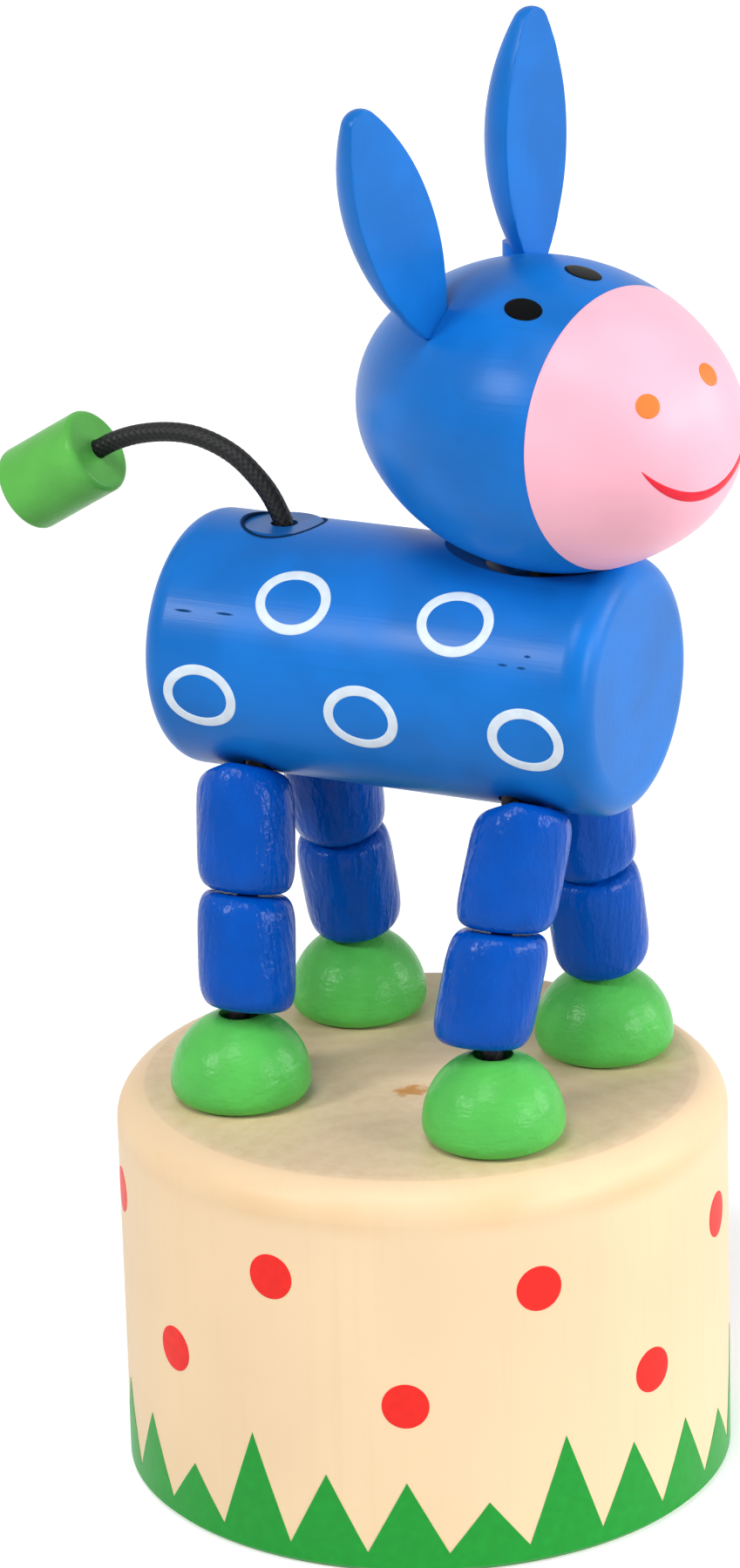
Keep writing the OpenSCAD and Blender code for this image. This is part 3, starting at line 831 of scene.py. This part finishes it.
class PUPPET_OT_spring(Builder, bpy.types.Operator):
    """Winds the return spring between the button and the drum's top"""
    bl_idname = "puppet.spring"
    bl_label = "Return spring"

    # Turns of the coil, steps in each and sides of its wire
    curls, steps, sides = 5, 64, 20

    def execute(self, context):
        s = self.sizes
        low, high = corners("return_spring")
        tall = high[2] - low[2]
        t = np.linspace(0, 1, self.steps * self.curls + 1)
        a, r = TURN * self.curls * t, (s.spring - s.wire) / 2
        route = points_of(r * np.cos(a), r * np.sin(a), low[2] + s.wire / 2 + t * (tall - s.wire))
        piece = grids_to_object("return_spring_wound", tube(route, s.wire / 2, self.sides, (0, 0, 1)),
                                spring_steel("spring_steel_drawn", self.colours.steel))
        self.fit(piece, "base", "spring_steel", "return_spring")
        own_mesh(piece)
        return {"FINISHED"}


class PUPPET_OT_drum(Builder, bpy.types.Operator):
    """Finishes the drum and its button in clear wood, and prints the dots and the grass"""
    bl_idname = "puppet.drum"
    bl_label = "Drum"

    # Rows of dots: height in millimetres and shift in steps; the front dot's angle, the step and how many
    rows, front, pitch, per_row = ((14.6, 0), (24.2, 0.5)), -67.4, 50, 7
    # The print sits askew: millimetres that it is low and the angle at which it is lowest
    lean, lean_to = 1.0, 27.5
    # Blades of grass: heights in millimetres, angle of the first, height of the valleys, count and steps
    blades, first, valley, blade_count, fine = (6.0, 10.7, 8.3, 8.0), -112.5, 1.8, 24, 16
    # The drum's foot is bevelled by so many millimetres. The print covers these shares of it inward and
    # down, and adds this share of its own height there
    bevel, cover_in, cover_down, foot_lift = 0.5, 0.9, 0.85, 0.4

    def execute(self, context):
        s, c = self.sizes, self.colours
        dress(["base_drum"], turned_wood("maple_turned_clear", c.wood, float(DRUM_TOP)))
        dress(["push_button", "head_peg"], turned_wood("maple_button_clear", c.wood, float(DRUM_TOP)))
        spot = pill(s.dot / 2, s.dot / 2, s.print_height)
        beside = self.per_row // 2
        places = [(math.radians(self.front + self.pitch * (k + shift)), z)
                  for z, shift in self.rows for k in range(-beside, beside + 1)]
        lowest = math.radians(self.lean_to)
        dots = [around_drum(spot, a, (z - self.lean * math.cos(a - lowest)) * MM) for a, z in places]
        dots = grids_to_object("drum_dots", np.stack(dots), print_ink("ink_red", c.dot))
        green = print_ink("ink_grass_green", c.grass)
        grass = grids_to_object("drum_grass", self.grass(s.print_height), green, along=True, crease=0.6)
        for piece in (dots, grass):
            self.fit(piece, "base", "natural_wood")
        return {"FINISHED"}

    def grass(self, lift):
        """A band round the foot whose top runs straight from valley to tip and back, once for each blade.

        Eight points go round its section: up the outside from the bevelled foot, and down the inside.
        """
        t = np.arange(self.blade_count * self.fine) / self.fine
        turn = math.radians(self.first) + TURN * t / self.blade_count
        tips = np.array(self.blades)[np.round(t).astype(int) % len(self.blades)]
        top = (self.valley + (tips - self.valley) * (1 - 2 * np.abs(t - np.round(t)))) * MM
        bevel = self.bevel * MM
        face = np.array([1, 1, 1, 1, -1, -1, -1, -1])
        share = np.array([0, 0, 0.5, 1, 1, 0.5, 0, 0])
        foot = np.array([1, 0, 0, 0, 0, 0, 0, 1])
        r = DRUM_R + lift * face - self.cover_in * bevel * foot
        down = self.cover_down * bevel + self.foot_lift * lift * face
        z = bevel + (top[:, None] - bevel) * share - foot * down
        return points_of(r * np.cos(turn)[:, None], r * np.sin(turn)[:, None], z)


class PUPPET_OT_legs(Builder, bpy.types.Operator):
    """Turns the hooves and the leg beads, with the soft lumps of their thick lacquer"""
    bl_idname = "puppet.legs"
    bl_label = "Hooves and beads"

    # Millimetres: a hoof's lower rounding, skirt, bore and mouth's depth
    hoof_round, hoof_skirt, hoof_bore, hoof_mouth = 1.6, 1.65, 1.2, 1.4
    # Millimetres: a bead's bore and what is left between two beads; the power of a bead's rounding
    bead_bore, knee_gap, bead_power = 1.6, 0.12, 4.6
    # Millimetres: a bead's rise at the hip, and how far it spreads to each side and to the rear; the share
    # of it that the outermost edge may take
    bead_rise, rise_side, rise_rear, rise_most = 1.15, 2.7, 3.2, 1.2
    # Lumps: waves round a piece, share of its phase and radians per metre along it; depths in millimetres on
    # a hoof and a bead, and how the phase goes on from leg to leg
    waves = ((2, 1, 220), (3, -1.7, -340), (5, 2.9, 500))
    hoof_lump, bead_lump, hoof_phase, bead_phase = 0.05, 0.07, 1.9, 2.3
    # Steps round a hoof, over its flat, its rounding and its dome; round a bead, along it and in its bore
    hoof_sides, flat_steps, round_steps, dome_steps = 96, 4, 12, 48
    bead_sides, bead_steps, bore_steps = 72, 49, 6

    def execute(self, context):
        s, c = self.sizes, self.colours
        green = gloss_lacquer("gloss_lacquer_green", c.green, (1.4, 1.4, 0.6), 0.1, 0.17, 0.3)
        blue = gloss_lacquer("gloss_lacquer_blue", c.bead_blue, (0.7, 0.7, 3.2), 0.16, 0.12, 0.2)
        for k, leg in enumerate(LEGS):
            hoof = self.hoof(*corners("hoof_" + leg), self.hoof_phase * k)
            piece = grids_to_object("hoof_turned_" + leg, hoof, green, along=True)
            self.fit(piece, "base", "green_paint", "hoof_" + leg)
            lower, upper = middle("lower_bead_" + leg), middle("upper_bead_" + leg)
            reach = np.linalg.norm(upper - lower)
            up = (upper - lower) / reach
            out = np.cross(up, (1, 0, 0))
            out *= np.sign(out[1] * lower[1])
            # Thick lacquer closes the knee to a thin line, so each bead grows there by half of what is left
            grow = (reach - s.bead_length - self.knee_gap * MM) / 4
            for part, at, toward, rise in (("lower", lower, 1, 0), ("upper", upper, -1, self.bead_rise)):
                bead = self.bead(at + toward * grow * up, s.bead_length / 2 + grow, up, out, rise * MM,
                                 self.bead_phase * k + rise)
                piece = grids_to_object(f"{part}_bead_turned_{leg}", bead, blue, along=True)
                self.fit(piece, f"{part}_{leg}", "blue_gloss", f"{part}_bead_{leg}")
        return {"FINISHED"}

    def lumps(self, a, h, phase):
        """Slow waves round a piece and along it, from -1 to 1."""
        waves = [np.sin(n * a + share * phase + rate * h) for n, share, rate in self.waves]
        return sum(waves) / len(waves)

    def hoof(self, low, high, phase):
        """A turned hoof: flat foot, quarter round, skirt, dome about the skirt's top, mouth to the bore."""
        radius, tall = (high - low)[0] / 2, (high - low)[2]
        edge, skirt, bore, deep = metres(self.hoof_round, self.hoof_skirt, self.hoof_bore, self.hoof_mouth)
        flat = np.linspace(bore, radius - edge, self.flat_steps, endpoint=False)
        foot = np.linspace(-math.pi / 2, 0, self.round_steps)
        dome = np.linspace(0, math.asin((tall - skirt) / radius), self.dome_steps)[1:]
        r = np.concatenate([flat, radius - edge + edge * np.cos(foot), radius * np.cos(dome),
                            [bore, bore]])[:, None]
        z = np.concatenate([0 * flat, edge + edge * np.sin(foot), skirt + radius * np.sin(dome),
                            [tall - deep, tall / 3]])[:, None]
        a = round_turn(self.hoof_sides)
        free = np.clip((r - bore) / radius, 0, 1) * np.clip(z / edge, 0, 1)
        r = r - self.hoof_lump * MM * free * (1 - self.lumps(a, z, phase))
        x, y, _ = (low + high) / 2
        return points_of(x + r * np.cos(a), y + r * np.sin(a), low[2] + z)

    def bead(self, centre, half, up, out, rise, phase):
        """A turned bead round a bore: h = half * sin^(2/p) and r = bore + (radius - bore) * cos^(2/p).

        rise lifts the outer side of the top, which fits under the round of the body. It falls off to the
        rear, where the folding leg turns up.
        """
        low, high = corners("lower_bead_front_left")
        radius = (high - low)[0] / 2
        bore, power = self.bead_bore * MM, 2 / self.bead_power
        f = np.linspace(-math.pi / 2, math.pi / 2, self.bead_steps)
        wall = np.linspace(1, -1, self.bore_steps)[1:-1]
        h = half * np.concatenate([blunt(np.sin(f), power), wall])[:, None]
        free = np.concatenate([blunt(np.cos(f), power), 0 * wall])[:, None]
        a = round_turn(self.bead_sides)
        r = bore + (radius - bore) * free - self.bead_lump * MM * free * (1 - self.lumps(a, h, phase))
        ahead, side = r * np.cos(a), r * np.sin(a)
        outer = np.clip((side / (self.rise_side * MM) + 1) / 2, 0, self.rise_most)
        lift = rise * outer * np.clip(ahead / (self.rise_rear * MM) + 1, 0, 1)
        h = h + lift * np.clip(h / half, 0, 1) ** 2
        return centre + ahead[..., None] * (1, 0, 0) + side[..., None] * out + h[..., None] * up


class PUPPET_OT_body(Builder, bpy.types.Operator):
    """Lacquers the body and prints its rings"""
    bl_idname = "puppet.body"
    bl_label = "Body"

    # Rings: place along the body in millimetres and angle up from the side
    rings = ((-6.1, 38.2), (8.1, 37.6), (-13.7, -10), (0.65, -10), (14.9, -10.6))
    # Dents on the near side, as painted shade: place along the body, angle up from the side, half length and
    # shade
    dents = ((-15.45, 28, 1.1, 0.2), (-11.75, 28.8, 1.1, 0.3), (12.8, 22, 0.6, 0.4), (14.4, 21.6, 0.55, 0.4),
             (14.75, 26.8, 0.4, 0.4))
    # Millimetres: how much wider the seat's arc is than the head's, the radius of the plug's joint and half
    # the width of a dent; how dark the seat's painted shade, the joint line and the plug's painted shade are
    seat_wider, joint, dent = 4, 3.3, 0.16
    seat_shade, joint_shade, plug_shade = 0.6, 0.12, 0.72

    def execute(self, context):
        s, c = self.sizes, self.colours
        grain = (GRAIN, ACROSS, ACROSS)
        dress(["body_log"], satin_blue("satin_lacquer_blue_log", c.blue, grain, self.marks()))
        # The plug gets a darker copy of the blue: painted shade for its flat face, which shows less sheen
        plug = rgba(c.blue, self.plug_shade)[:3]
        dress(["tail_plug"], satin_blue("satin_lacquer_blue_plug_painted_shade", plug, grain))
        line = s.ring_stroke / 2
        flat = hoop(s.ring / 2 - line, s.ring_width / 2 - line, line, s.print_height)
        grids = [around_log(flat, x * MM, math.radians(turn), side)
                 for side in (-1, 1) for x, turn in self.rings]
        piece = grids_to_object("body_rings", np.stack(grids), print_ink("ink_white", c.white), along=True)
        self.fit(piece, "body", "blue_paint")
        return {"FINISHED"}

    def marks(self):
        """Painted shade in the log's dished seat under the head and in its dents, and the tail plug's dark
        joint.
        """
        dish = HeadForm(self.sizes).s + self.seat_wider * MM
        joint, dent = metres(self.joint, self.dent)
        # The seat is darkened as painted shade, where the head overhangs it
        shaded = [((NECK[0], NECK[1], NECK[2] + dish), (dish,) * 3, 0, (1.0005, 1.003), self.seat_shade),
                  ((PLUG_TOP[0], PLUG_TOP[1], LOG_HIGH[2]), (joint, joint, LOG_R), 1, (0.03, 0.11),
                   self.joint_shade)]
        # Each dent is only a spot of painted shade on the colour, with no hollow in the surface
        for x, turn, half, shade in self.dents:
            a = math.radians(turn)
            centre = (x * MM, -LOG_R * math.cos(a), LOG_Z + LOG_R * math.sin(a))
            shaded.append((centre, (half * MM, dent, dent), 0, (0.3, 1), shade))
        return shaded


class PUPPET_OT_head(Builder, bpy.types.Operator):
    """Lacquers the head and paints its muzzle, eyes, nostrils and smile"""
    bl_idname = "puppet.head"
    bl_label = "Head"

    # Right and left: place along the head in millimetres and angle from its top. The print sits turned on it
    eye_at, nostril_at = ((3.35, -19.8), (4.1, 11.2)), ((14.4, -39), (15.2, 23.7))
    # In heights of a print: eyes on the wood, nostrils and smile on the muzzle, and the muzzle's edge, which
    # comes up out of the wood
    eye_rise, nostril_rise, smile_rise, edge_rise = 1.6, 2.5, 1.2, (-2, 0, 0.7, 1)
    # The smile: millimetres of its arc's centre above the head's axis, half its angle, steps along and round
    smile_up, smile_half, smile_steps, smile_sides = 3.2, 67, 81, 12
    # The muzzle: steps along it, those of them that close the nose, and steps round it
    muzzle_steps, nose_steps, muzzle_sides = 60, 24, 128
    # Millimetres: half the width of the smile's ends, and the width of the muzzle's rounded edge
    hair = 0.02

    def execute(self, context):
        s, c = self.sizes, self.colours
        form = HeadForm(s)
        dress(["head"], satin_blue("satin_lacquer_blue_head", c.blue, (GRAIN, ACROSS, ACROSS)))
        eye = pill(s.eye_length / 2, s.eye_width / 2, self.eye_rise * s.print_height)
        nostril = pill(s.nostril / 2, s.nostril / 2, self.nostril_rise * s.print_height)
        marks = (
            ("muzzle", self.muzzle(form), pink_lacquer("satin_lacquer_pink", c.pink)),
            ("eyes", self.pair(form, eye, self.eye_at), print_ink("ink_black", c.eye, 0.18, 0.05)),
            ("nostrils", self.pair(form, nostril, self.nostril_at), print_ink("ink_orange", c.orange)),
            ("smile", self.smile(form), print_ink("ink_mouth_red", c.mouth)),
        )
        for name, grid, material in marks:
            self.fit(grids_to_object("head_" + name, grid, material), "head", "blue_paint")
        return {"FINISHED"}

    def pair(self, form, flat, places):
        """The same spot on the right and on the left of the head."""
        return np.stack([form.place(form.spot(flat, x * MM, math.radians(turn))) for x, turn in places])

    def muzzle(self, form):
        """A film over the nose: the oval's profile turned about its axis. Its edge dips into the wood."""
        lift, edge, nose = self.sizes.print_height, self.sizes.muzzle, self.nose_steps
        x = np.concatenate([[edge] * 3, np.linspace(edge + self.hair * MM, form.a, self.muzzle_steps)])
        start = np.arcsin((x[-nose] - form.end) / form.r)
        x[-nose:] = form.end + form.r * np.sin(np.linspace(start, math.pi / 2, nose))
        up = np.full(len(x), lift)
        up[:4] = np.array(self.edge_rise) * lift
        a = round_turn(self.muzzle_sides)
        w = form.width(x)[:, None]
        return form.place(form.seat(points_of(x[:, None], w * np.cos(a), w * np.sin(a)), up[:, None]))

    def smile(self, form):
        """An arc seen from the front, thick in the middle and pointed at its ends, seated on the nose."""
        s = self.sizes
        a = np.linspace(-1, 1, self.smile_steps)[:, None]
        f = round_turn(self.smile_sides)
        turn = math.radians(self.smile_half) * a
        radius = s.mouth_radius + (s.mouth_stroke / 2 * (1 - np.abs(a) ** 3) + self.hair * MM) * np.cos(f)
        y = radius * np.sin(turn)
        z = self.smile_up * MM - radius * np.cos(turn)
        nose = points_of(form.end + np.sqrt(form.r ** 2 - y ** 2 - z ** 2), y, z)
        grid = form.seat(nose, s.print_height * (1 + self.smile_rise * np.sin(f)))
        first, last = (grid[[k]].mean(1, keepdims=True).repeat(len(f), 1) for k in (0, -1))
        return form.place(np.concatenate([first, grid, last]))


class PUPPET_OT_ears(Builder, bpy.types.Operator):
    """Cuts the two ears from a turned spindle and rounds their edges"""
    bl_idname = "puppet.ears"
    bl_label = "Ears"

    # Millimetres and degrees: the stem's place on the head and its splay
    back, out_turn, stem_splay = 4.25, 29, 14
    # The ear on it: the turn of its face and how deep it sits; each ear was glued in its own way, so for
    # each side its splay and how far it lies ahead of the stem, outside it and above it
    face_turn, sunk = 2, 0.4
    glued = {"left": (14, (0, -0.16, -0.64)), "right": (10.6, (0.3, 1.0, -0.9))}
    # Millimetres: the stem's diameter, how far it lies behind the flat face, and its lower and upper end
    stem, stem_behind, stem_low, stem_high = 2.8, 0.35, -2.5, 0.9
    # The power that rounds the edge, the most of a tip's radius at which the face lies, and the steps along
    # an ear and round it
    edge, face_most, steps, sides = 110, 0.75, 90, 192

    def execute(self, context):
        form = HeadForm(self.sizes)
        blue = satin_blue("satin_lacquer_blue_ears", self.colours.blue, (ACROSS, ACROSS, GRAIN))
        for side, sign in SIDES.items():
            grids = form.place(self.shape(form, sign, *self.glued[side]))
            piece = grids_to_object("ear_rounded_" + side, grids, blue, crease=0.7)
            self.fit(piece, "head", "blue_paint", "ear_" + side)
        return {"FINISHED"}

    def shape(self, form, sign, splay, shift):
        """A spindle cut by a flat face, on a round stem.

        At each height the section is the nearer of a plane and a circle, seen from a point inside;
        a high power mean of the two distances rounds the edge where they meet.
        """
        s = self.sizes
        t, w = s.ear_thickness, s.ear_width
        spindle = (t * t + w * w / 4) / (2 * t)
        face = t - spindle
        half = s.ear_length / 2
        h = half * np.sin(np.linspace(-math.pi / 2, math.pi / 2, self.steps))[:, None]
        r = Oval(half, spindle, s.ear_end).width(h)
        a = round_turn(self.sides)[None]
        front = np.minimum(face, self.face_most * r)
        centre = (front - r) / 2
        plane = (front - centre) / np.maximum(np.cos(a), 1e-3)
        circle = -centre * np.cos(a) + np.sqrt(np.maximum(r ** 2 - (centre * np.sin(a)) ** 2, 0))
        small = np.maximum(np.minimum(plane, circle), 1e-9)
        shares = ((small / np.maximum(far, 1e-9)) ** self.edge for far in (plane, circle))
        near = small * sum(shares) ** (-1 / self.edge)
        near[[0, -1]] = 0
        ear = points_of(centre + near * np.cos(a), near * np.sin(a), h + half - self.sunk * MM)
        radius, inset, low, high = metres(self.stem / 2, self.stem_behind, self.stem_low, self.stem_high)
        line = points_of(face - inset - radius, 0, np.linspace(low, high, self.steps - 2))
        peg = tube(line, radius, self.sides, (0, 1, 0))
        spin = turn_about("z", sign * math.radians(self.face_turn))
        lean, stem_lean = (turn_about("x", -sign * math.radians(v)) @ spin for v in (splay, self.stem_splay))
        points = np.stack([ear @ lean.T + np.array(shift) * (1, sign, 1) * MM, peg @ stem_lean.T])
        x, turn = -self.back * MM, math.radians(self.out_turn)
        out = form.width(np.array(x))
        return points + np.array([x, sign * out * math.sin(turn), out * math.cos(turn)])


class PUPPET_OT_stage(Builder, bpy.types.Operator):
    """Sets a pale floor, a white background and soft studio light"""
    bl_idname = "puppet.stage"
    bl_label = "Stage"

    # Lamps: place in metres, width in metres and power in watts; the point that they aim at
    lamps = (("key", (-0.415, -0.684, 0.573), 0.17, 3.6), ("front", (0.05, -0.5, 0.9), 0.4, 4.3),
             ("fill", (0.88, -0.1, 0.33), 0.3, 3.8), ("rim", (0.75, 0.42, 0.3), 0.35, 3.3))
    lamp_aim = (0, 0, 0.06)
    # Light of the room on the object; what lifts the floor to white, from near the puppet to far from it,
    # and the metres between which that changes; half the floor's width in metres
    room_light, floor_lift, lift_fade, half_floor = 0.16, (0.48, 0.88), (0.1, 0.6), 3

    def execute(self, context):
        scene = context.scene
        scene.view_settings.view_transform = "Standard"
        side = np.linspace(-self.half_floor, self.half_floor, 3)
        grids_to_object("floor", points_of(side[:, None], side, 0.0), self.floor(), across=False)
        for name, place, width, power in self.lamps:
            lamp = bpy.data.lights.new(name, "AREA")
            lamp.shape, lamp.size, lamp.energy = "SQUARE", width, power
            z = unit(np.array(place) - self.lamp_aim)
            set_up(name, lamp, unit(np.cross((0, 0, 1), z)), z, place)
        self.sky(scene)
        return {"FINISHED"}

    def seen(self, tree):
        """1 for what the camera, a reflection or a clear piece sees, 0 for light on the object."""
        path = add(tree, "LightPath")
        both = add(tree, "Math", {0: path.outputs["Is Camera Ray"], 1: path.outputs["Is Glossy Ray"]},
                   operation="MAXIMUM")
        return add(tree, "Math", {0: both, 1: path.outputs["Is Transmission Ray"]}, operation="MAXIMUM")

    def sky(self, scene):
        """A white room: white to the camera and in reflections, softer as light."""
        world = bpy.data.worlds.new("white_room")
        world.use_nodes = True
        tree = world.node_tree
        tree.nodes.clear()
        level = add(tree, "MapRange", span(self.seen(tree), 0, 1, self.room_light, 1.0))
        back = add(tree, "Background", {"Color": (1, 1, 1, 1), "Strength": level})
        add(tree, "OutputWorld", {"Surface": back})
        scene.world = world

    def floor(self):
        """Pale matt board that keeps the shadow, lifted to white for the camera."""
        material, tree, place = new_material("matt_board_white")
        board = add(tree, "BsdfDiffuse", {"Color": rgba("#E4E4E4")})
        away = add(tree, "VectorMath", {0: place}, operation="LENGTH").outputs["Value"]
        lift = add(tree, "MapRange", span(away, *self.lift_fade, *self.floor_lift), **SMOOTH)
        level = add(tree, "Math", {0: lift, 1: self.seen(tree)}, operation="MULTIPLY")
        glow = add(tree, "Emission", {"Color": (1, 1, 1, 1), "Strength": level})
        add(tree, "OutputMaterial", {"Surface": add(tree, "AddShader", {0: board, 1: glow})})
        return material


class PUPPET_PT_sidebar(bpy.types.Panel):
    """Lists the steps, sizes and colours in the sidebar"""
    bl_label = "Push puppet"
    bl_idname = "PUPPET_PT_sidebar"
    bl_space_type = "VIEW_3D"
    bl_region_type = "UI"
    bl_category = "Puppet"

    def draw(self, context):
        for step in STEPS:
            self.layout.operator("puppet." + step)
        for name in GROUPS:
            box, group = self.layout.box(), getattr(context.scene, name)
            for key in group.__annotations__:
                box.prop(group, key)


STEPS = ("camera", "tail", "leg_cords", "neck_cords", "knots", "spring", "drum", "legs", "body", "head",
         "ears", "stage")
CLASSES = (PuppetSizes, PuppetColours, PuppetStage, PUPPET_OT_camera, PUPPET_OT_tail, PUPPET_OT_leg_cords,
           PUPPET_OT_neck_cords, PUPPET_OT_knots, PUPPET_OT_spring, PUPPET_OT_drum, PUPPET_OT_legs,
           PUPPET_OT_body, PUPPET_OT_head, PUPPET_OT_ears, PUPPET_OT_stage, PUPPET_PT_sidebar)
GROUPS = {"puppet_sizes": PuppetSizes, "puppet_colours": PuppetColours, "puppet_stage": PuppetStage}


def register():
    """Makes the classes and the groups of sizes and colours known to Blender."""
    for cls in CLASSES:
        bpy.utils.register_class(cls)
    for name, group in GROUPS.items():
        setattr(bpy.types.Scene, name, bpy.props.PointerProperty(type=group))


def unregister():
    """Takes them back in the opposite order."""
    for name in GROUPS:
        delattr(bpy.types.Scene, name)
    for cls in reversed(CLASSES):
        bpy.utils.unregister_class(cls)


def main():
    """Builds every piece in order."""
    register()
    for step in STEPS:
        getattr(bpy.ops.puppet, step)()


if __name__ == "__main__":
    main()
